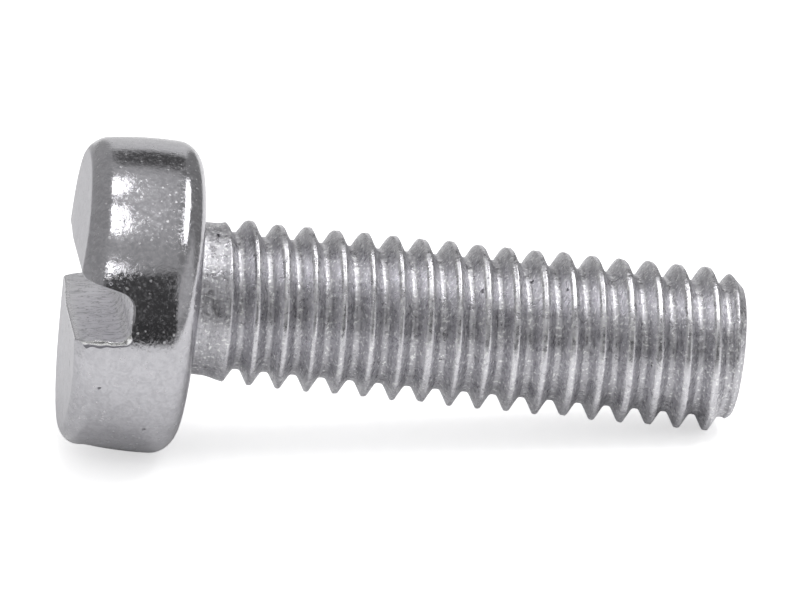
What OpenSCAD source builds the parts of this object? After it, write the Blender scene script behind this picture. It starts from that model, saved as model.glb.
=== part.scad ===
// A slotted cheese-head machine screw with a rolled M3 thread, lying on its side as it comes to rest.
// It is one solid. The head's rim and the last full thread crest touch the surface it lies on.

/* [Head] */
// Diameter of the head at the bearing face, before its edge is rounded
head_d = 5.5; // [4.9:0.01:6.4]
// Thickness of the head, from the bearing face to the slotted face
head_h = 2; // [1.6:0.01:2.6]
// Draft of the head's side, which narrows towards the slotted face, in degrees
head_draft = 2.6; // [0:0.1:5]
// Radius of the rounded edge round the slotted face
face_edge_r = 0.34; // [0.1:0.01:0.5]
// Radius of the rounded edge round the bearing face
bearing_edge_r = 0.4; // [0.1:0.01:0.5]
// Radius of the fillet between the bearing face and the neck
neck_fillet_r = 0.15; // [0.12:0.01:0.25]

/* [Slot] */
// Width of the slot at half its depth
slot_w = 0.93; // [0.8:0.01:1.2]
// Depth of the slot below the slotted face
slot_depth = 0.83; // [0.7:0.01:1.2]
// Draft of each slot wall, which opens the slot towards its mouth, in degrees
slot_draft = 11; // [0:0.5:15]
// Radius in the two corners of the slot's floor
slot_corner_r = 0.16; // [0.05:0.01:0.25]
// Turn of the slot about the screw's axis, up at the front of the lying screw, in degrees
slot_turn = 6; // [-180:0.5:180]
// Distance by which the slot misses the screw's axis, up on the lying screw
slot_offset = 0.11; // [0:0.01:0.2]

/* [Shank] */
// Length of the shank, from the bearing face to the end of the screw
shank_l = 9.6; // [6:0.01:20]
// Diameter over the thread's crests
thread_d = 2.86; // [2.8:0.01:3]
// Pitch of the thread
pitch = 0.5; // [0.45:0.01:0.6]
// Diameter of the plain neck, which is the wire that the thread was rolled on
neck_d = 2.64; // [2.5:0.01:2.7]
// Distance from the bearing face to the start of the thread groove, at the underside
thread_start = 0.47; // [0.4:0.01:1]
// Length over which the first crest rises from the neck to its full height
crest_rise = 0.5; // [0.3:0.01:1]
// Diameter of the flat at the end of the screw
tip_d = 2.24; // [1.8:0.01:2.3]
// Length of the chamfer at the end of the screw
tip_chamfer = 0.33; // [0.2:0.01:0.6]

/* [Hidden] */

// Straight facets in one turn of the thread groove
turn_steps = 32;
// Flats that make up each rounded corner of the slot's floor
corner_facets = 6;
// Facets of the exact round surfaces when they are only previewed
$fn = 96;
// Overlap that lets one join pass cleanly into the next
eps = 0.01;
// Reach of a cut beyond the surface that it opens
clear = 0.2;

// Basic 60 degree thread: the crest is 1/8 and the root 1/4 of the pitch wide
thread_depth = 5 / 8 * pitch * sin(60);
crest_r = thread_d / 2;
root_r = crest_r - thread_depth;
crest_half = pitch / 16;
root_half = pitch / 8;
// Small flats that round off the crest and root corners, as [along the axis, out from the axis]
crest_round = [0.035, 0.035];
root_round = [0.035, 0.025];

// Centres of the two rounded edges of the head, as [radius, height], with the bearing face at height 0
function edge_r(h, r) = head_d / 2 + h * tan(head_draft) - r / cos(head_draft);
bearing_edge = [edge_r(-bearing_edge_r, bearing_edge_r), -bearing_edge_r];
face_edge = [edge_r(face_edge_r - head_h, face_edge_r), face_edge_r - head_h];

// Last crest of full height along the underside, on which the shank rests
first_crest = thread_start + pitch / 2;
crest_gaps = floor((shank_l - tip_chamfer - crest_half - first_crest) / pitch);
rest_s = first_crest + crest_gaps * pitch + crest_half;

// The lying screw leans until the head's rim and that crest are level
rest_run = rest_s - bearing_edge[1];
rest_drop = bearing_edge[0] - crest_r;
rest_tilt = atan2(rest_drop, rest_run) + asin(bearing_edge_r / norm([rest_run, rest_drop]));

// Extent of the lying screw along the surface, and the height of its axis where it crosses the bearing face
low_x = face_edge[1] * cos(rest_tilt) - face_edge[0] * sin(rest_tilt) - face_edge_r;
high_x = shank_l * cos(rest_tilt) + tip_d / 2 * sin(rest_tilt);
axis_z = rest_s * sin(rest_tilt) + crest_r * cos(rest_tilt);

// Point on a rounded edge where its outward normal leans this far from the radius to the bearing face
function on_edge(centre, r, lean) = centre + r * [cos(lean), sin(lean)];

// Half of the head's section inside its two rounded edges, as [radius, height]
module head_section() {
    polygon([
        [0, 0], on_edge(bearing_edge, bearing_edge_r, 90), on_edge(bearing_edge, bearing_edge_r, -head_draft),
        on_edge(face_edge, face_edge_r, -head_draft), on_edge(face_edge, face_edge_r, -90), [0, -head_h]
    ]);
}

// Half of the blank shank's section: neck, rise to the crest, crest and end chamfer
module shank_section() {
    polygon([
        [0, -eps], [neck_d / 2, -eps], [neck_d / 2, thread_start - pitch / 4],
        [crest_r, thread_start - pitch / 4 + crest_rise], [crest_r, shank_l - tip_chamfer],
        [tip_d / 2, shank_l], [0, shank_l]
    ]);
}

// Half of the section of the fillet under the head
module fillet_section() {
    reach = neck_d / 2 + neck_fillet_r;
    difference() {
        polygon([[0, -eps], [reach, -eps], [reach, 0], [reach, neck_fillet_r], [0, neck_fillet_r]]);
        translate([reach, neck_fillet_r]) circle(neck_fillet_r);
    }
}

// Ring of round section, which rounds off an edge of the head
module edge_ring(centre, r) {
    rotate_extrude() translate(centre) circle(r);
}

// The turned form before the thread is rolled and the slot is cut
module blank() {
    rotate_extrude() head_section();
    edge_ring(bearing_edge, bearing_edge_r);
    edge_ring(face_edge, face_edge_r);
    rotate_extrude() shank_section();
    rotate_extrude() fillet_section();
}

// Section of the thread groove, as [distance from its centre along the axis, radius]
groove_half = [
    [root_half, root_r],
    [root_half, root_r] + root_round,
    [pitch / 2 - crest_half, crest_r] - crest_round,
    [pitch / 2 - crest_half + clear, crest_r + clear]
];
groove_section = concat(
    [for (i = [len(groove_half) - 1:-1:0]) [-groove_half[i][0], groove_half[i][1]]],
    groove_half
);

// Right-handed groove, swept round the axis from the underside. It deepens over its first half turn.
module thread_groove() {
    sides = len(groove_section);
    steps = ceil((shank_l + pitch - thread_start) / pitch * turn_steps);
    lift = function(i) (thread_depth + eps) * max(0, 1 - 2 * i / turn_steps);
    points = [
        for (i = [0:steps], p = groove_section)
        let (turn = 360 * i / turn_steps, r = p[1] + lift(i))
        [r * cos(turn), r * sin(turn), thread_start + pitch * i / turn_steps + p[0]]
    ];
    walls = [
        for (i = [0:steps - 1], j = [0:sides - 1])
        let (k = (j + 1) % sides, a = i * sides, b = a + sides)
        each [[a + j, b + k, a + k], [a + j, b + j, b + k]]
    ];
    ends = [[for (j = [0:sides - 1]) j], [for (j = [sides - 1:-1:0]) steps * sides + j]];
    polyhedron(points = points, faces = concat(walls, ends));
}

// Slot across the head, open at the slotted face, with drafted walls and rounded floor corners
module slot() {
    lean = tan(slot_draft);
    mouth = slot_depth + clear;
    floor_half = slot_w / 2 - slot_depth / 2 * lean;
    corner = [floor_half + slot_corner_r * (lean - 1 / cos(slot_draft)), -slot_corner_r];
    half = concat(
        [
            for (i = [corner_facets:-1:0])
            on_edge(corner, slot_corner_r, slot_draft + (90 - slot_draft) * i / corner_facets)
        ],
        [[floor_half + mouth * lean, -mouth]]
    );
    length = 2 * head_d;
    rotate([0, 0, -slot_turn])
    translate([-slot_offset, length / 2, slot_depth - head_h])
    rotate([90, 0, 0])
    linear_extrude(length)
    polygon(concat(half, [for (i = [len(half) - 1:-1:0]) [-half[i][0], half[i][1]]]));
}

module screw() {
    color([0.66, 0.66, 0.68])
    translate([-(low_x + high_x) / 2, 0, axis_z])
    rotate([0, 90 + rest_tilt, 0])
    difference() {
        blank();
        thread_groove();
        slot();
    }
}

screw();
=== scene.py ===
import math
import bmesh
import bpy
import numpy as np
from mathutils import Matrix, Vector


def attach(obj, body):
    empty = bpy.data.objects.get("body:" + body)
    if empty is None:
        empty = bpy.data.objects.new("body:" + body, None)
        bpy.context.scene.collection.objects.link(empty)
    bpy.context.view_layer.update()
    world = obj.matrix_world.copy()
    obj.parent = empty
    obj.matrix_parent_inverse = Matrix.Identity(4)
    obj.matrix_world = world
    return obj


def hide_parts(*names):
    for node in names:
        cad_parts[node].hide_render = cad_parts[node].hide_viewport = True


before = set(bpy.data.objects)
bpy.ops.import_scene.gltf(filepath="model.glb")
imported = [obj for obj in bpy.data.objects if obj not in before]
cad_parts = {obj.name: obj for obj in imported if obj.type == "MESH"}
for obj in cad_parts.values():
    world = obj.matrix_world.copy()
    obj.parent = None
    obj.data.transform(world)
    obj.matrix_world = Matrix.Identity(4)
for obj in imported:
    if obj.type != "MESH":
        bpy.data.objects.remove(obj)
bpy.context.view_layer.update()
mm = 0.001


def smooth(x):
    # 3x^2 - 2x^3 between 0 and 1
    x = np.clip(x, 0.0, 1.0)
    return x * x * (3.0 - 2.0 * x)


def softMin(a, b, width):
    # lower of a and b, with a parabola of this width where they cross
    h = np.clip(0.5 + 0.5 * (b - a) / width, 0.0, 1.0)
    return b + (a - b) * h - width * h * (1.0 - h)


def waves(u, v, seed, count, low, high):
    # sum of count sine waves over u and v, of seeded directions, phases and frequencies from low to high,
    # over the root of count, so that most of it lies between -1 and 1
    rng = np.random.default_rng(seed)
    angle = rng.uniform(0.0, 2.0 * math.pi, count)
    speed = rng.uniform(low, high, count)
    phase = rng.uniform(0.0, 2.0 * math.pi, count)
    total = np.zeros(np.broadcast(u, v).shape)
    for a, f, p in zip(angle, speed, phase):
        total = total + np.sin(f * (u * math.cos(a) + v * math.sin(a)) + p)
    return total / math.sqrt(count)


# Sizes in mm. s runs along the shank from the bearing face, and the head is at s below 0.
screwForm = {
    "headD": 5.5,
    "headH": 1.975,
    "headDraft": 2.6,  # slope of the head's side, in degrees
    "faceEdge": 0.4,
    "faceEdgeStart": -62.0,  # the rounded edge meets the face in a crisp line, at this slope
    "bearingEdge": 0.4,
    "neckFillet": 0.15,
    "lowEdgePush": 0.09,  # the face edge is crisper at the head's bottom, pressed out by up to half of this
    "crown": 0.05,  # how far the head's side is rounded off at both ends, as it barrels in the die
    "crownReach": 0.2,  # and it is rounded off by that much at this distance past each end
    "headShift": 0.04,  # the head was pressed this far off the shank's axis, and lies with that side down
    "slotDepth": 0.815,
    "slotFloor": 0.765,  # width of the slot at its floor, if its walls met it in sharp corners
    "slotOffset": 0.14,  # from the head's axis up to the middle of the floor
    "slotTurn": 6.0,  # in degrees, about the shank
    "lowerCorner": 0.18,
    "upperCorner": 0.32,
    "upperDraft": 14.5,
    "lowerDraft": 7.2,
    "upperLip": 0.12,
    "lowerLip": 0.04,
    "slotExit": 0.03,  # rounding where the slot leaves the head's side
    "moveDepth": 0.75,  # the next two moves fade over this depth below the face
    "pinch": 0.14,  # the upper wall is steeper at the far end of the slot, by up to this much at its lip
    "pinchPlace": 0.68,  # height above the axis where this is strongest, and how fast it fades above and below
    "pinchWidth": 0.45,
    "pinchFull": 2.3,  # and the distance from the axis, towards the far end, where it is whole
    "lipRaise": 0.13,  # the saw raised the face by up to this much along the slot
    "lipRaisePlace": 0.2,
    "lipRaiseEnd": 2.4,  # from the axis on this fades, to nothing here near the far end
    "burrHeight": 0.13,  # torn strip of metal along the lower near edge of the slot
    "burrOut": 0.022,
    "burrSunk": 0.02,
    "burrPastCorner": 0.13,  # how far the strip may go on past the floor's corner
    "burrTaper": 0.08,  # the strip's ends taper off over this length
    "solidEdge": 0.34,  # face edge radius and head height of the solid, which set its middle and so the place
    "solidH": 2.0,
    "shankL": 9.6,
    "threadD": 2.86,
    "pitch": 0.5,
    "neckD": 2.64,
    "threadStart": 0.47,  # first middle of the groove
    "neckMargin": 0.06,  # plain neck between the head's grid and the place where the first crest rises
    "crestRise": 0.5,  # the first crest rises from the neck over this length
    "crestWear": 0.035,  # the rolled crests vary in height by this much
    "crestRound": 0.022,  # difference in height over which a flank bends into the crest, and into the root
    "rootRound": 0.06,
    "tipD": 2.24,
    "tipChamfer": 0.33,
    "tipRound": 0.03,
    "tipEdge": 0.05,
}

# Steps of the head's outline over each rounded edge, and along the side between them
edgeSteps = 200
sideSteps = 120


def arcPoints(centre, radius, start, stop, steps):
    # centre + radius * (cos, sin) for equal steps of the angle, given in degrees
    a = np.radians(np.linspace(start, stop, steps + 1))
    return np.stack([centre[0] + radius * np.cos(a), centre[1] + radius * np.sin(a)], axis=1)


def headMeridian(f):
    # length along the head's outside, and radius and s there: arc of the face edge, straight drafted side, arc
    # of the bearing edge, the radius less the crown times the square of the way from the side's middle
    d = math.radians(f["headDraft"])

    def edgeRadius(s, r):
        return f["headD"] / 2 + s * math.tan(d) - r / math.cos(d)

    faceDrop = f["faceEdge"] * math.sin(math.radians(-f["faceEdgeStart"]))
    face = (edgeRadius(faceDrop - f["headH"], f["faceEdge"]), faceDrop - f["headH"])
    bearing = (edgeRadius(-f["bearingEdge"], f["bearingEdge"]), -f["bearingEdge"])
    top = arcPoints(face, f["faceEdge"], f["faceEdgeStart"], -f["headDraft"], edgeSteps)
    low = arcPoints(bearing, f["bearingEdge"], -f["headDraft"], 90, edgeSteps)
    x = np.linspace(0, 1, sideSteps + 1)[1:-1, None]
    side = top[-1] + (low[0] - top[-1]) * x
    line = np.concatenate([top, side, low])
    middle = (top[-1, 1] + low[0, 1]) / 2
    half = (low[0, 1] - top[-1, 1]) / 2 + f["crownReach"]
    line[:, 0] -= f["crown"] * np.clip(np.abs(line[:, 1] - middle) / half, 0, 1.2) ** 2
    line[:, 0] = np.maximum(line[:, 0], f["neckD"] / 2 + f["neckFillet"] + 0.02)
    run = np.concatenate([[0], np.cumsum(np.linalg.norm(np.diff(line, axis=0), axis=1))])
    return run, line[:, 0], line[:, 1]


def slotSection(f, faceR):
    # q and depth right across the slotted face, joined from two halves: flat floor, corner arc, drafted
    # wall, lip arc, and the face at depth 0 out to its edge, in steps of equal angle
    halves = []
    for side, shift in (("lower", -f["slotOffset"]), ("upper", f["slotOffset"])):
        d = math.radians(f[side + "Draft"])
        lip = f[side + "Lip"]
        depth = f["slotDepth"]
        corner = f[side + "Corner"]
        floorHalf = f["slotFloor"] / 2
        cornerQ = floorHalf + corner * (math.tan(d) - 1 / math.cos(d))
        lipQ = floorHalf + (depth - lip) * math.tan(d) + lip / math.cos(d)
        q = np.linspace(0, cornerQ, 8)[:-1]
        floorPart = np.stack([q, np.full_like(q, depth)], axis=1)
        cornerPart = arcPoints((cornerQ, depth - corner), corner, 90, f[side + "Draft"], 7)
        lipPart = arcPoints((lipQ, lip), -lip, f[side + "Draft"], 90, 7)
        x = np.linspace(0, 1, 10)[1:-1, None]
        wall = cornerPart[-1] + (lipPart[0] - cornerPart[-1]) * x
        section = np.concatenate([floorPart, cornerPart, wall, lipPart]) + [shift, 0]
        angle = np.linspace(math.asin(section[-1, 0] / faceR), math.pi / 2, 29)[1:]
        outside = np.stack([faceR * np.sin(angle), np.zeros_like(angle)], axis=1)
        halves.append(np.concatenate([section, outside]))
    lower, upper = halves
    lower = lower[::-1] * [-1, 1]
    line = np.concatenate([lower, upper[1:]])
    return line[:, 0], np.maximum(line[:, 1], 0)


def threadRadius(f, s, turn):
    # radius of the rolled thread: the lowest of the blank's envelope, a 60 degree groove that follows
    # s = start + pitch * turn and comes in over its first half turn, and the end's chamfer. The envelope is
    # lowered by the crests' wear, in slow waves.
    depth = 5 / 8 * f["pitch"] * math.sin(math.radians(60))
    crestR = f["threadD"] / 2
    rise = (s - f["threadStart"] + f["pitch"] / 4) / f["crestRise"]
    envelope = f["neckD"] / 2 + (crestR - f["neckD"] / 2) * smooth(rise)
    wave = waves((s - f["threadStart"]) / f["pitch"], 0.0, seed=11, count=8, low=1.2, high=11.0)
    worn = np.clip(0.5 + 0.5 * wave, 0, 1)
    envelope = envelope - f["crestWear"] * worn * smooth(rise)
    along = (s - f["threadStart"]) / f["pitch"] - turn
    centre = np.round(along)
    x = np.abs(along - centre) * f["pitch"]
    flank = crestR - depth + (x - f["pitch"] / 8) * depth / (f["pitch"] * 5 / 16)
    flank = -softMin(-flank, depth - crestR, f["rootRound"])
    lift = depth * 1.05 * np.clip(1 - 2 * (centre + turn), 0, 3)
    r = softMin(envelope, flank + lift, f["crestRound"])
    tip = f["tipD"] / 2 + (f["shankL"] - s) * (crestR - f["tipD"] / 2) / f["tipChamfer"]
    return softMin(r, tip, f["tipRound"])


def aroundShank(r, angle, s):
    # points at radius r and place s, the angle counted from the bottom past the near side
    return np.stack([-r * np.sin(angle), -r * np.cos(angle), np.broadcast_to(s, r.shape)], axis=2)


def plainGrid(points):
    # a grid that lies outside the slot and the torn strip
    none = np.zeros(points.shape[:2])
    return points, none, none


def gridFaces(rows, columns, first):
    # quads between neighbouring rows and columns of a grid whose vertices start at index first
    j, i = np.meshgrid(np.arange(rows - 1), np.arange(columns - 1), indexing="ij")
    a = (first + j * columns + i).ravel()
    return np.stack([a, a + 1, a + columns + 1, a + columns], axis=1)


def burrStrip(f, q, depth, reach):
    # closed strip along the slot's lower near edge: rings in the plane of the edge's outward and downward
    # directions, path(t) + down * (height * (1 - cos a) / 2 - sunk) + outward * width * sin a, halved where it
    # points inwards, with waves in height and width. Its mark goes from -1 on the torn ridge, which gets a
    # painted highlight, to 1 in the fold below, which gets painted shade.
    use = (depth > 0.03) & (q < f["lowerCorner"] + f["burrPastCorner"] - f["slotFloor"] / 2)
    line = np.stack([-reach[use], q[use], depth[use] - f["headH"]], axis=1)
    run = np.concatenate([[0], np.cumsum(np.linalg.norm(np.diff(line, axis=0), axis=1))])
    t = np.linspace(0, run[-1], 221)
    path = np.stack([np.interp(t, run, line[:, k]) for k in range(3)], axis=1)
    along = np.gradient(path[:, 1:], axis=0)
    along = along / np.linalg.norm(along, axis=1)[:, None]
    down = np.stack([np.zeros_like(t), -along[:, 1], along[:, 0]], axis=1)
    taper = (smooth(t / f["burrTaper"]) * smooth((run[-1] - t) / f["burrTaper"]))[:, None]
    wave = [waves(t, 0.0, seed, count=7, low=6.0, high=45.0) for seed in (3, 5, 8)]
    wave = np.stack(wave, axis=1)[:, :, None]
    height = f["burrHeight"] * np.clip(0.85 + 0.25 * wave[:, 0], 0.3, 1.2) * taper
    width = f["burrOut"] * np.clip(0.6 + 0.35 * wave[:, 1], 0.2, 1.2) * taper
    sunk = f["burrSunk"] * taper * (1 + 0.9 * wave[:, 2])
    a = np.linspace(0, 2 * math.pi, 17)
    lower = (1 - np.cos(a)) / 2
    drop = height * lower - sunk
    outward = width * np.where(np.sin(a) > 0, 1.0, 0.5) * np.sin(a)
    strip = path[:, None, :] + down[:, None, :] * drop[:, :, None]
    sideR = np.hypot(path[:, 0], path[:, 1])[:, None]
    strip[:, :, 0] = -np.sqrt(sideR ** 2 - strip[:, :, 1] ** 2) - outward
    start = 0.35 + 0.35 * (t[:, None] / run[-1]) + 0.1 * wave[:, 2]
    return strip, 2 * smooth((lower - start) / 0.12) - 1


def buildScrew(f):
    # the screw as grids, each (points, share inside the slot, mark of the torn strip), then put into one list.
    # A point is (p, q, s): p along the slot to its far end, q up across it, s along the shank.
    run, meridianR, meridianS = headMeridian(f)
    sideEnd = edgeSteps + sideSteps
    sideRun, bearingRun = run[edgeSteps], run[sideEnd]
    faceR = meridianR[0]
    q, depth = slotSection(f, faceR)
    last = len(q) - 1
    columns = 2 * last
    exitR = f["slotExit"] * np.clip(depth / 0.1, 0, 1)
    startRun = np.interp(depth - f["headH"], meridianS[:sideEnd + 1], run[:sideEnd + 1])
    startR = np.interp(startRun, run, meridianR)
    reach = np.sqrt(np.maximum(startR ** 2 - q ** 2, 0))
    grids = []

    # Face and slot: each row runs along the slot, from the near to the far side of the head, at its own depth
    w = np.linspace(-1, 1, 49)
    p = (reach - exitR)[:, None] * w
    grids.append((
        np.stack([p, np.broadcast_to(q[:, None], p.shape),
                  np.broadcast_to((depth - f["headH"])[:, None], p.shape)], axis=2),
        np.broadcast_to(np.clip(depth / 0.15, 0, 1)[:, None], p.shape),
        np.zeros(p.shape),
    ))
    strip, mark = burrStrip(f, q, depth, reach)
    grids.append((strip, np.zeros(mark.shape), mark))

    # Side, bearing edge, bearing face, fillet and neck: columns go round from the bottom past the near
    # side, first at the places where the rows of the face end, then blending into even steps
    c = np.arange(columns + 1)
    cut = np.where(c <= last, c, columns - c)
    sign = np.where(c <= last, -1.0, 1.0)
    qc, dc, ec = q[cut], depth[cut], exitR[cut]
    endP = sign * (reach[cut] - ec)
    arcMid = 0.29  # 1 - cos 45, halfway round the arc of the slot's exit
    midP = sign * (reach[cut] - arcMid * ec)
    edgeRuns = np.linspace(0, sideRun, 10)
    sideRuns = np.linspace(sideRun, bearingRun, 13)[1:]
    runs = np.concatenate([edgeRuns, sideRuns]) / bearingRun
    firstRun = startRun[cut] + ec
    runGrid = firstRun + (bearingRun - firstRun) * runs[:, None]
    sideR = np.interp(runGrid, run, meridianR)
    sideS = np.interp(runGrid, run, meridianS)
    angle = np.arccos(np.clip(-qc / sideR[0], -1, 1))
    angle = np.where(c <= last, angle, 2 * math.pi - angle)
    even = 2 * math.pi * c / columns

    fillet = f["neckFillet"]
    neckR = f["neckD"] / 2
    startS = f["threadStart"] - f["pitch"] / 4 - f["neckMargin"]
    bearingSteps = bearingRun + (run[-1] - bearingRun) * np.linspace(0, 1, 11)[1:]
    arcR = np.interp(bearingSteps, run, meridianR)
    arcS = np.interp(bearingSteps, run, meridianS)
    arcS[-1] = 0
    flatR = np.linspace(arcR[-1], neckR + fillet, 6)[1:]
    filletLine = arcPoints((neckR + fillet, fillet), -fillet, 90, 0, 5)[1:]
    neckS = np.linspace(fillet, startS, 4)[1:]
    lowR = np.concatenate([arcR, flatR, filletLine[:, 0], np.full(3, neckR)])
    lowS = np.concatenate([arcS, np.zeros(5), filletLine[:, 1], neckS])
    blend = smooth(np.linspace(0, 1, len(lowR)))[:, None]
    lowAngle = angle + (even - angle) * blend
    allR = np.concatenate([sideR, np.broadcast_to(lowR[:, None], lowAngle.shape)])
    allS = np.concatenate([sideS, np.broadcast_to(lowS[:, None], lowAngle.shape)])
    allA = np.concatenate([np.broadcast_to(angle, sideR.shape), lowAngle])
    body = aroundShank(allR, allA, allS)
    corner = np.stack([
        np.stack([endP, qc, dc - f["headH"]], axis=1),
        np.stack([midP, qc, dc + arcMid * ec - f["headH"]], axis=1),
    ])
    grids.append(plainGrid(np.concatenate([corner, body])))

    # Thread: rows follow the helix, so each keeps its place on crest, flank or root. Their marks go from
    # -0.5 to 0.5 of a pitch, with the groove's middle at 0.
    turn = -(even / (2 * math.pi) + f["slotTurn"] / 360)
    marks = np.array([-1, -0.93, -0.85, -0.74, -0.5, -0.3, -0.18, 0, 0.18, 0.3, 0.5, 0.74, 0.85, 0.93]) / 2
    endS = f["shankL"] - f["tipEdge"] * 0.7
    laps = math.ceil((endS - startS) / f["pitch"]) + 3
    row = (np.arange(-1, laps)[:, None] + marks).ravel()[:, None]
    s = f["threadStart"] + f["pitch"] * (row + turn + 1)
    s = np.clip(s, startS, endS)
    r = threadRadius(f, s, np.mod(turn, 1.0))
    r = np.where(s <= startS, neckR, r)
    grids.append(plainGrid(aroundShank(r, even, s)))

    # End: a small rounded edge, then a face that dips slightly to its middle, as shares of the radius and of the
    # last bit of length
    share = np.array([1.0, 0.985, 0.96, 0.92, 0.8, 0.6, 0.4, 0.2, 0.08, 0.0])[:, None]
    out = np.array([0.0, 0.55, 0.85, 1.0, 0.9, 0.7, 0.5, 0.35, 0.3, 0.3])[:, None]
    grids.append(plainGrid(aroundShank(share * r[-1], even, endS + out * (f["shankL"] - endS))))

    quads, first = [], 0
    for grid, inSlot, mark in grids:
        quads.append(gridFaces(grid.shape[0], grid.shape[1], first))
        first += grid.shape[0] * grid.shape[1]
    points = np.concatenate([grid.reshape(-1, 3) for grid, inSlot, mark in grids])
    slotMask = np.concatenate([inSlot.ravel() for grid, inSlot, mark in grids])
    tornMark = np.concatenate([mark.ravel() for grid, inSlot, mark in grids])
    return points, np.concatenate(quads), slotMask, tornMark


def restPose(f):
    # lean, and the place of the bearing face's centre along the floor and above it, for a screw that rests
    # on its rim and last full crest: the floor is the tangent from the crest's corner to the arc of the rim
    d = math.radians(f["headDraft"])
    b = f["bearingEdge"]
    rim = (f["headD"] / 2 - b * math.tan(d) - b / math.cos(d), -b)
    e, h = f["solidEdge"], f["solidH"]
    face = (f["headD"] / 2 + (e - h) * math.tan(d) - e / math.cos(d), e - h)
    firstCrest = f["threadStart"] + f["pitch"] / 2
    gaps = math.floor((f["shankL"] - f["tipChamfer"] - f["pitch"] / 16 - firstCrest) / f["pitch"])
    rest = firstCrest + gaps * f["pitch"] + f["pitch"] / 16
    runS, drop = rest - rim[1], rim[0] + f["headShift"] - f["threadD"] / 2
    lean = math.atan2(drop, runS) + math.asin(b / math.hypot(runS, drop))
    low = face[1] * math.cos(lean) - (face[0] + f["headShift"]) * math.sin(lean) - e
    high = f["shankL"] * math.cos(lean) + f["tipD"] / 2 * math.sin(lean)
    height = rest * math.sin(lean) + f["threadD"] / 2 * math.cos(lean)
    return lean, -(low + high) / 2, height


def makeMesh(name, points, quads, zones):
    # smooth mesh with one attribute for each zone, joined along the seams and poles of its grids
    mesh = bpy.data.meshes.new(name)
    mesh.vertices.add(len(points))
    mesh.vertices.foreach_set("co", points.astype(np.float32).ravel())
    mesh.loops.add(quads.size)
    mesh.loops.foreach_set("vertex_index", quads.astype(np.int32).ravel())
    mesh.polygons.add(len(quads))
    mesh.polygons.foreach_set("loop_start", np.arange(0, quads.size, 4, dtype=np.int32))
    mesh.update(calc_edges=True)
    for key, value in zones.items():
        mesh.attributes.new(key, "FLOAT", "POINT").data.foreach_set("value", value.astype(np.float32))
    work = bmesh.new()
    work.from_mesh(mesh)
    bmesh.ops.remove_doubles(work, verts=work.verts, dist=3e-8)
    bmesh.ops.dissolve_degenerate(work, edges=work.edges, dist=1e-9)
    bmesh.ops.recalc_face_normals(work, faces=work.faces)
    openEdges = sum(1 for e in work.edges if len(e.link_faces) != 2)
    work.to_mesh(mesh)
    work.free()
    mesh.polygons.foreach_set("use_smooth", np.ones(len(mesh.polygons), dtype=bool))
    mesh.update()
    obj = bpy.data.objects.new(name, mesh)
    bpy.context.scene.collection.objects.link(obj)
    print("mesh", name, len(mesh.vertices), "vertices", len(mesh.polygons), "faces", openEdges, "open edges")
    return obj


def formHead(f, points):
    # small moves of the head's points, each an amount times smooth fades: lower face edge out and forwards,
    # upper slot wall down at its far end, face forwards along the slot, whole head down
    p, q, s = points[:, 0].copy(), points[:, 1].copy(), points[:, 2].copy()
    turned = math.radians(f["slotTurn"])
    r = np.maximum(np.hypot(p, q), 0.001)
    up = (q * math.cos(turned) - p * math.sin(turned)) / r
    reach = f["faceEdge"] + 0.05
    sideR = f["headD"] / 2 - f["headH"] * math.tan(math.radians(f["headDraft"]))
    nearSide = np.clip((r - sideR + reach) / reach, 0, 1)
    nearFace = np.clip((-s - f["headH"] + reach) / reach, 0, 1)
    push = f["lowEdgePush"] * nearSide * nearFace * smooth((-up - 0.45) / 0.45)
    shallow = smooth(1 - (s + f["headH"]) / f["moveDepth"])
    pinch = f["pinch"] * smooth(p / f["pinchFull"]) * shallow
    pinch = pinch * np.exp(-((q - f["pinchPlace"]) / f["pinchWidth"]) ** 2)
    raised = f["lipRaise"] * smooth((f["lipRaiseEnd"] - p) / f["lipRaiseEnd"]) * shallow
    raised = raised * np.exp(-(q - f["lipRaisePlace"]) ** 2)
    onHead = np.where(s < 0, 1.0, smooth((r - f["neckD"] / 2 - 0.2) / 0.4)) * (s < 0.001)
    shift = f["headShift"] * onHead
    p = p * (1 + push / r) + shift * math.sin(turned)
    q = q * (1 + push / r) - pinch - shift * math.cos(turned)
    return np.stack([p, q, s - 0.2 * push - raised], axis=1)


def layDown(f, points, lean, restX, restZ):
    # points in metres in the shared frame: turned about the shank, leaned, and moved to the place of rest
    turned = math.radians(f["slotTurn"])
    y = points[:, 0] * math.cos(turned) + points[:, 1] * math.sin(turned)
    up = -points[:, 0] * math.sin(turned) + points[:, 1] * math.cos(turned)
    x = points[:, 2] * math.cos(lean) + up * math.sin(lean) + restX
    z = restZ - points[:, 2] * math.sin(lean) + up * math.cos(lean)
    return mm * np.stack([x, y, z], axis=1)


def findZones(f, points, slotMask, tornMark):
    # where each finish lies, as a share from 0 to 1 with a soft edge
    s = points[:, 2]
    radius = np.hypot(points[:, 0], points[:, 1])
    crestLow = f["threadD"] / 2 - 0.1
    faceLow = f["headH"] - 0.12
    return {
        "inSlot": slotMask,
        "rolled": smooth((s - 0.02) / 0.1),
        "crest": smooth((radius - crestLow) / 0.08) * (s > 0.3),
        # the fold below the torn strip is painted with shade, the torn ridge with a highlight
        "fold": np.clip(tornMark, 0, 1),
        "torn": np.clip(-tornMark, 0, 1),
        "face": smooth((-s - faceLow) / 0.1) * (slotMask < 0.01),
    }


points, quads, slotMask, tornMark = buildScrew(screwForm)
points = formHead(screwForm, points)
lean, restX, restZ = restPose(screwForm)
zones = findZones(screwForm, points, slotMask, tornMark)
screw = makeMesh("screw_zinc_plated", layDown(screwForm, points, lean, restX, restZ), quads, zones)
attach(screw, "root")
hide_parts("screw")
print("screw made")


def hexColour(text, alpha=1.0):
    # sRGB hex to linear
    parts = [int(text[i:i + 2], 16) / 255 for i in (1, 3, 5)]
    return [c / 12.92 if c <= 0.04045 else ((c + 0.055) / 1.055) ** 2.4 for c in parts] + [alpha]


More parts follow.
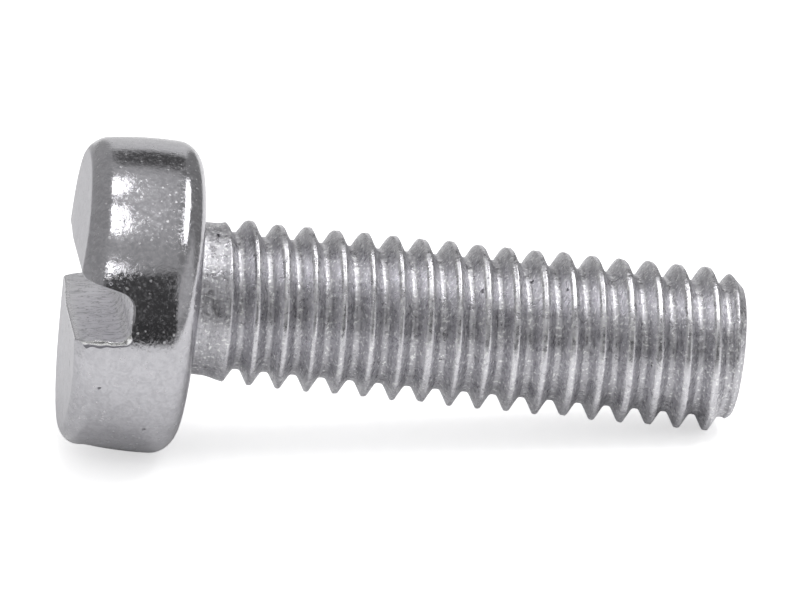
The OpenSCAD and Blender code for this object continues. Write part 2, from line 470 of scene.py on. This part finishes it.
def addNode(tree, kind, settings=None, **inputs):
    # one node with its settings, and its inputs set to a value or linked from another node's output
    node = tree.nodes.new(kind)
    for key, value in (settings or {}).items():
        setattr(node, key, value)
    for key, value in inputs.items():
        name = key.replace("_", " ")
        socket = node.inputs[int(name[1:])] if name[0] == "n" and name[1:].isdigit() else node.inputs[name]
        if isinstance(value, bpy.types.NodeSocket):
            tree.links.new(value, socket)
        else:
            socket.default_value = value
    return node


def calcNode(tree, operation, *values):
    # result of one math node on these values or outputs
    inputs = {"n%d" % k: value for k, value in enumerate(values)}
    return addNode(tree, "ShaderNodeMath", {"operation": operation}, **inputs).outputs[0]


def softStep(tree, value, low, high, start=0.0, stop=1.0):
    # from start to stop while the value goes from low to high, eased at both ends
    return addNode(tree, "ShaderNodeMapRange", {"interpolation_type": "SMOOTHSTEP"}, Value=value, From_Min=low,
                   From_Max=high, To_Min=start, To_Max=stop).outputs["Result"]


def mixColours(tree, share, first, second):
    # (1 - share) * first + share * second, each a colour or another node's output
    return addNode(tree, "ShaderNodeMix", {"data_type": "RGBA"}, n0=share, n6=first, n7=second).outputs[2]


def grey(level):
    # opaque grey of this level, from black at 0 to white at 1
    return (level, level, level, 1.0)


# Bright zinc plate on cold-formed steel. The pressed head is a soft grey mirror with a mottled grain, and
# the rolled thread is rougher, with streaks round the shank, crests painted lighter and painted glints. The
# torn slot is dull and creased, painted lighter, with painted shade in its tears. Heights are in micrometres and
# sizes of patterns in mm.
zincLook = {
    "light": "#eae9ed",
    "dark": "#8f8e94",
    # dark of stains, and of painted shade in the slot's tears and the fold under the torn strip
    "stainAndShade": "#66656b",
    # white of the painted glints
    "paintedGlint": "#ffffff",
    "headRoughness": 0.11,
    "threadRoughness": 0.25,
    "slotRoughness": 0.38,
    "faceRoughness": 0.36,
    "mottleRoughness": 0.05,  # each of these is added where its pattern lies
    "grainRoughness": 0.11,
    "speckRoughness": 0.4,
    "tornRoughness": 0.15,
    "patchRoughness": 0.22,
    "mottleSize": 0.2,
    "headMottle": 3.0,
    "threadMottle": 13.0,
    "crestSmoothed": 0.6,  # the die rolls the crests this much smoother than the flanks
    "grainSize": 0.055,
    "headGrain": 0.5,
    "threadGrain": 3.0,
    "streakSize": 0.045,
    "streakLength": 0.9,
    "streakHeight": 1.5,
    "tearWidth": 0.24,
    "tearLength": 0.6,
    "tearHeight": 34.0,
    "speckSize": 0.12,
    "speckRagged": 0.4,  # how far the grain breaks the outline of a speck and of a pit
    "pitSize": 0.5,
    "pitHeight": 12.0,
    "pitRagged": 0.25,
    "pitChance": 0.45,
    "headShade": 0.44,  # between dark at 0 and light at 1, and what the patterns add to it
    "headMottleShade": 0.16,
    "threadShade": 0.3,
    "threadMottleShade": 0.22,
    "grainShade": 0.08,
    "streakShade": 0.2,
    # the crests are lighter, partly as burnished and partly as a painted highlight
    "crestBurnishAndHighlight": 0.27,
    # the slot is lighter: painted light
    "slotPaintedLight": 0.45,
    # share of painted glint on the specks
    "speckPaintedGlint": 0.35,
    # painted shade in the fold under the torn strip
    "foldPaintedShade": 0.9,
    # how strongly the painted shade of the slot's tears goes on over the face
    "facePaintedShade": 0.4,  # how strongly the tears of the slot go on over the face
}


def zincMaterial(look, lean):
    # Roughness and shade are sums of a level for each zone and an amount times each pattern; shade holds a
    # painted highlight on the crests and painted light in the slot. Three mixes give the colour: dark to light by
    # shade, then painted glints, then stains and painted shade.
    material = bpy.data.materials.new("bright zinc-plated steel")
    material.use_nodes = True
    tree = material.node_tree
    tree.nodes.clear()

    # Short names for what is used often: sum, product, difference and highest of values, and the other nodes
    def total(first, *others):
        for other in others:
            first = calcNode(tree, "ADD", first, other)
        return first

    def times(first, *others):
        for other in others:
            first = calcNode(tree, "MULTIPLY", first, other)
        return first

    def less(first, second):
        return calcNode(tree, "SUBTRACT", first, second)

    def highest(first, *others):
        for other in others:
            first = calcNode(tree, "MAXIMUM", first, other)
        return first

    def step(value, low, high, start=0.0, stop=1.0):
        return softStep(tree, value, low, high, start, stop)

    def zone(name):
        return addNode(tree, "ShaderNodeAttribute", {"attribute_name": name}).outputs["Fac"]

    def stretched(vector, scale):
        return addNode(tree, "ShaderNodeMapping", None, Vector=vector, Scale=scale).outputs[0]

    def noise(vector, size, **more):
        node = addNode(tree, "ShaderNodeTexNoise", None, Vector=vector, Scale=1000 / size, **more)
        return node.outputs["Fac"]

    def cells(vector, size, ragged):
        # distance from the middle of a cell, made uneven by the grain, and a random number for each cell
        cell = addNode(tree, "ShaderNodeTexVoronoi", {"feature": "F1"}, Vector=vector, Scale=1000 / size)
        chance = addNode(tree, "ShaderNodeSeparateColor", None, Color=cell.outputs["Color"])
        return total(cell.outputs["Distance"], times(less(grain, 0.5), ragged)), chance.outputs[0]

    # Where on the screw: zones, and the frame turned so that X runs along the shank
    place = addNode(tree, "ShaderNodeTexCoord").outputs["Object"]
    along = addNode(tree, "ShaderNodeMapping", None, Vector=place, Rotation=(0, -lean, 0)).outputs[0]
    rolled, inSlot, crest, face, fold, torn = (
        zone(name) for name in ("rolled", "inSlot", "crest", "face", "fold", "torn"))
    plain = less(1.0, rolled)
    worn = less(1.0, times(crest, look["crestSmoothed"]))

    def byZone(head, thread):
        return total(times(plain, head), times(rolled, thread))

    # Patterns: mottle and grain everywhere, streaks round the shank, tears along the slot, specks and pits
    mottle = noise(along, look["mottleSize"], Detail=4.0, Roughness=0.65, Distortion=1.4)
    grain = noise(along, look["grainSize"], Detail=1.0, Roughness=0.6)
    ratio = look["streakSize"] / look["streakLength"]
    streak = noise(stretched(along, (1.0, ratio, ratio)), look["streakSize"], Detail=2.0, Roughness=0.5,
                   Distortion=0.3)
    ratio = look["tearWidth"] / look["tearLength"]
    tear = noise(stretched(along, (ratio, 1.0, 1.0)), look["tearWidth"], Detail=2.5, Roughness=0.5,
                 Distortion=2.2)
    speckPlace, speckChance = cells(along, look["speckSize"], look["speckRagged"])
    speck = times(step(speckPlace, 0.1, 0.24, 1.0, 0.0), step(speckChance, 0.1, 0.9))
    pitPlace, pitChance = cells(along, look["pitSize"], look["pitRagged"])
    pit = times(step(pitPlace, 0.02, 0.1, 1.0, 0.0),
                calcNode(tree, "GREATER_THAN", pitChance, 1.0 - look["pitChance"]))
    soft = step(mottle, 0.36, 0.64)
    fine = step(grain, 0.38, 0.62)

    height = total(
        times(mottle, byZone(look["headMottle"], times(worn, look["threadMottle"]))),
        times(grain, byZone(look["headGrain"], look["threadGrain"])),
        times(streak, byZone(0.0, look["streakHeight"])),
        times(tear, inSlot, look["tearHeight"]),
        times(pit, -look["pitHeight"]),
    )
    bump = addNode(tree, "ShaderNodeBump", None, Strength=1.0, Distance=0.000001, Height=height)

    rough = total(
        byZone(look["headRoughness"], look["threadRoughness"]),
        times(inSlot, look["slotRoughness"] - look["headRoughness"]),
        times(face, look["faceRoughness"] - look["headRoughness"]),
        times(step(mottle, 0.45, 0.65), look["mottleRoughness"]),
        times(step(grain, 0.5, 0.66), plain, look["grainRoughness"]),
        times(speck, look["speckRoughness"]),
        times(torn, look["tornRoughness"]),
        times(soft, rolled, worn, look["patchRoughness"]),
    )

    onHead = total(times(soft, look["headMottleShade"]), times(fine, look["grainShade"]), look["headShade"])
    onThread = total(
        times(soft, look["threadMottleShade"]),
        times(fine, look["grainShade"]),
        times(step(streak, 0.38, 0.62), look["streakShade"]),
        # crests lighter: partly burnished, partly a painted highlight
        times(crest, look["crestBurnishAndHighlight"]),
        look["threadShade"],
    )
    # the slot is painted lighter: painted light
    shade = total(byZone(onHead, onThread), times(inSlot, look["slotPaintedLight"]))

    # Painted glints: white base colour on sparkles of the thread, on some of the specks and on the torn ridge
    paintedSparkles = times(step(grain, 0.57, 0.65), rolled, step(mottle, 0.42, 0.56))
    paintedGlint = highest(times(speck, look["speckPaintedGlint"]), paintedSparkles, torn)

    # Painted shade in the slot's tear hollows and creases and in the fold under the torn strip, then darker pits
    # and spots on the thread
    ridge = calcNode(tree, "ABSOLUTE", less(tear, 0.47))
    crease = times(step(ridge, 0.008, 0.035, 0.7, 0.0), step(mottle, 0.42, 0.5))
    paintedTearShade = highest(step(tear, 0.34, 0.42, 0.5, 0.0), crease)
    paintedTearShade = times(paintedTearShade, total(inSlot, times(face, look["facePaintedShade"])))
    spots = times(step(grain, 0.33, 0.4, 0.3, 0.0), rolled, step(mottle, 0.44, 0.54, 1.0, 0.0))
    stainAndShade = highest(paintedTearShade, times(fold, look["foldPaintedShade"]), pit, spots)

    colour = mixColours(tree, shade, hexColour(look["dark"]), hexColour(look["light"]))
    colour = mixColours(tree, paintedGlint, colour, hexColour(look["paintedGlint"]))
    colour = mixColours(tree, stainAndShade, colour, hexColour(look["stainAndShade"]))
    shader = addNode(tree, "ShaderNodeBsdfPrincipled", None, Metallic=1.0, Roughness=rough, Base_Color=colour,
                     Normal=bump.outputs["Normal"])
    addNode(tree, "ShaderNodeOutputMaterial", None, Surface=shader.outputs["BSDF"])
    return material


screw.data.materials.append(zincMaterial(zincLook, lean))
print("material made")


# Studio: lengths in mm, and lamps as (name, place of the middle, size, radiance, place aimed at)
studio = {
    "floorColour": "#f4f4f4",
    "floorRadius": 400.0,
    "floorGlow": 0.55,  # what the camera sees besides the lit paper
    "paperFront": -11.0,  # white paper ends here on the side of the camera, and what lies beyond reflects dark
    "beyondSlant": 0.45,  # there the floor has one level left of a slanting line, and another right of it
    "beyondEdge": (-8.2, -6.4),
    "beyondLevels": (0.05, 0.34),
    "lamps": [
        ("stripFront", (-6.9, -25.0, 90.0), (4.0, 34.0), 11.0, (-6.9, -25.0, 0.0)),
        ("stripBack", (-4.0, 22.0, 90.0), (5.0, 22.0), 11.0, (-4.0, 22.0, 0.0)),
        ("stripRight", (50.0, 0.0, 90.0), (28.0, 90.0), 5.0, (50.0, 0.0, 0.0)),
        ("frontFill", (-12.0, -76.0, 60.0), (7.0, 10.0), 6.0, (0.0, 0.0, 2.5)),
    ],
}


def addLamp(name, place, size, radiance, target):
    # flat lamp whose power is radiance * pi * area, facing its target
    data = bpy.data.lights.new(name, "AREA")
    data.shape = "RECTANGLE"
    data.size, data.size_y = size[0] * mm, size[1] * mm
    data.energy = radiance * math.pi * data.size * data.size_y
    lamp = bpy.data.objects.new(name, data)
    bpy.context.scene.collection.objects.link(lamp)
    lamp.location = Vector(place) * mm
    aim = Vector(target) * mm - lamp.location
    lamp.rotation_euler = aim.to_track_quat("-Z", "Y").to_euler()


def paperMaterial(look):
    # Matt white paper. In the metal it shows only up to the paper's front edge, and dark levels lie beyond.
    material = bpy.data.materials.new("white studio paper")
    material.use_nodes = True
    tree = material.node_tree
    tree.nodes.clear()
    place = addNode(tree, "ShaderNodeTexCoord").outputs["Object"]
    part = addNode(tree, "ShaderNodeSeparateXYZ", None, Vector=place)
    rays = addNode(tree, "ShaderNodeLightPath")
    paper = addNode(tree, "ShaderNodeBsdfDiffuse", None, Color=hexColour(look["floorColour"]))
    level = calcNode(tree, "MULTIPLY", rays.outputs["Is Camera Ray"], look["floorGlow"])
    glow = addNode(tree, "ShaderNodeEmission", None, Color=grey(1.0), Strength=level)
    lit = addNode(tree, "ShaderNodeAddShader", None, n0=paper.outputs[0], n1=glow.outputs[0])
    slant = calcNode(tree, "MULTIPLY_ADD", part.outputs["Y"], look["beyondSlant"], part.outputs["X"])
    low, high = (edge * mm for edge in look["beyondEdge"])
    room = softStep(tree, slant, low, high, *look["beyondLevels"])
    dark = addNode(tree, "ShaderNodeEmission", None, Color=grey(1.0), Strength=room)
    beyond = calcNode(tree, "LESS_THAN", part.outputs["Y"], look["paperFront"] * mm)
    mirrored = calcNode(tree, "MULTIPLY", beyond, rays.outputs["Is Glossy Ray"])
    both = addNode(tree, "ShaderNodeMixShader", None, n0=mirrored, n1=lit.outputs[0], n2=dark.outputs[0])
    addNode(tree, "ShaderNodeOutputMaterial", None, Surface=both.outputs[0])
    return material


def makeFloor(look):
    # flat disc under the screw: rings and spokes in one array
    ring = np.array([0.0, 20.0, 60.0, 150.0, look["floorRadius"]])[:, None] * mm
    a = np.linspace(0, 2 * math.pi, 65)
    rows, columns = len(ring), len(a)
    grid = np.stack([ring * np.cos(a), ring * np.sin(a), np.zeros((rows, columns))], axis=2)
    data = bpy.data.meshes.new("floor")
    data.from_pydata(grid.reshape(-1, 3).tolist(), [], gridFaces(rows, columns, 0).tolist())
    work = bmesh.new()
    work.from_mesh(data)
    bmesh.ops.remove_doubles(work, verts=work.verts, dist=1e-7)
    bmesh.ops.recalc_face_normals(work, faces=work.faces)
    work.to_mesh(data)
    work.free()
    floor = bpy.data.objects.new("floor", data)
    bpy.context.scene.collection.objects.link(floor)
    data.materials.append(paperMaterial(look))


# What the metal reflects, as grey levels by direction. A ramp is a list of (rise, level), with rise 0 towards the
# horizon and 1 straight up. An edge is where one side goes over into the next, as two places along Y or X.
roomLook = {
    "behind": [(0.0, 0.7), (0.45, 0.7), (0.53, 0.09), (0.74, 0.09), (0.84, 0.5), (1.0, 0.58)],
    "front": [(0.0, 0.06), (0.54, 0.06), (0.60, 0.38), (0.8, 0.42), (1.0, 0.58)],
    "frontEdge": (-0.25, 0.1),
    "left": 0.37,
    "leftEdge": (-0.13, -0.01),
    "leftBend": -0.2,  # the left edge bends by this much times Y times the rise
    "rightFront": [(0.0, 0.5), (0.45, 0.5), (0.6, 0.3), (1.0, 0.3)],
    "rightBehind": 0.24,
    "rightEdge": (0.25, 0.34),
    "evenLight": 0.72,
    "backdrop": 1.0,
}


def addRamp(tree, factor, stops):
    # grey levels at places between 0 and 1, joined by straight lines
    ramp = addNode(tree, "ShaderNodeValToRGB", None, Fac=factor)
    points = ramp.color_ramp.elements
    points[0].position, points[1].position = stops[0][0], stops[-1][0]
    for place, level in stops[1:-1]:
        points.new(place)
    for point, (place, level) in zip(points, stops):
        point.color = grey(level)
    return ramp.outputs["Color"]


def makeWorld(look):
    # Mixes by direction: in the metal a white backdrop low behind, a grey ceiling, a dark room on the front
    # side, and greys to the left and right. Other light comes evenly from all round, and the camera sees
    # white.
    world = bpy.data.worlds.new("studio")
    bpy.context.scene.world = world
    world.use_nodes = True
    tree = world.node_tree
    tree.nodes.clear()
    ray = addNode(tree, "ShaderNodeTexCoord").outputs["Generated"]
    part = addNode(tree, "ShaderNodeSeparateXYZ", None, Vector=ray)
    x, y, rise = (part.outputs[axis] for axis in "XYZ")
    toBehind = softStep(tree, y, *look["frontEdge"])
    front, behind = (addRamp(tree, rise, look[key]) for key in ("front", "behind"))
    around = mixColours(tree, toBehind, front, behind)
    bent = calcNode(tree, "MULTIPLY_ADD", calcNode(tree, "MULTIPLY", y, rise), look["leftBend"], x)
    around = mixColours(tree, softStep(tree, bent, *look["leftEdge"]), grey(look["left"]), around)
    right = mixColours(tree, toBehind, addRamp(tree, rise, look["rightFront"]), grey(look["rightBehind"]))
    around = mixColours(tree, softStep(tree, x, *look["rightEdge"]), around, right)
    colours = (around, grey(look["evenLight"]), grey(look["backdrop"]))
    mirrored, even, white = (
        addNode(tree, "ShaderNodeBackground", None, Color=colour, Strength=1.0).outputs[0]
        for colour in colours)
    rays = addNode(tree, "ShaderNodeLightPath").outputs
    lit = addNode(tree, "ShaderNodeMixShader", None, n0=rays["Is Glossy Ray"], n1=even, n2=mirrored)
    both = addNode(tree, "ShaderNodeMixShader", None, n0=rays["Is Camera Ray"], n1=lit.outputs[0], n2=white)
    addNode(tree, "ShaderNodeOutputWorld", None, Surface=both.outputs[0])


for lamp in studio["lamps"]:
    addLamp(*lamp)
makeFloor(studio)
makeWorld(roomLook)
bpy.context.scene.view_settings.view_transform = "Standard"
print("studio made")

# Where the photograph was taken from: angles in degrees, lengths in mm
viewpoint = {
    "azimuth": -4.773,
    "elevation": 19.36,
    "roll": -0.258,
    "distance": 144.37,
    "lens": 375.75,
    "target": (-0.0504, 0.0, 2.158),
    "right": 0.043,  # how far the view is moved sideways and up from the target
    "up": 0.335,
}


def makeCamera(v):
    # back from the target by the distance, at the azimuth and elevation, then rolled about the line of sight
    az, el = math.radians(v["azimuth"]), math.radians(v["elevation"])
    back = Vector((math.sin(az) * math.cos(el), -math.cos(az) * math.cos(el), math.sin(el)))
    right = Vector((math.cos(az), math.sin(az), 0.0))
    up = back.cross(right)
    data = bpy.data.cameras.new("camera")
    data.lens = v["lens"]
    data.sensor_width = 36.0
    data.clip_start = 0.01
    data.clip_end = 10.0
    camera = bpy.data.objects.new("camera", data)
    bpy.context.scene.collection.objects.link(camera)
    place = Vector(v["target"]) * mm + right * (v["right"] * mm) + up * (v["up"] * mm)
    place = place + back * (v["distance"] * mm)
    roll = Matrix.Rotation(math.radians(v["roll"]), 3, back)
    axes = roll @ Matrix((right, up, back)).transposed()
    camera.matrix_world = Matrix.Translation(place) @ axes.to_4x4()
    bpy.context.scene.camera = camera


makeCamera(viewpoint)
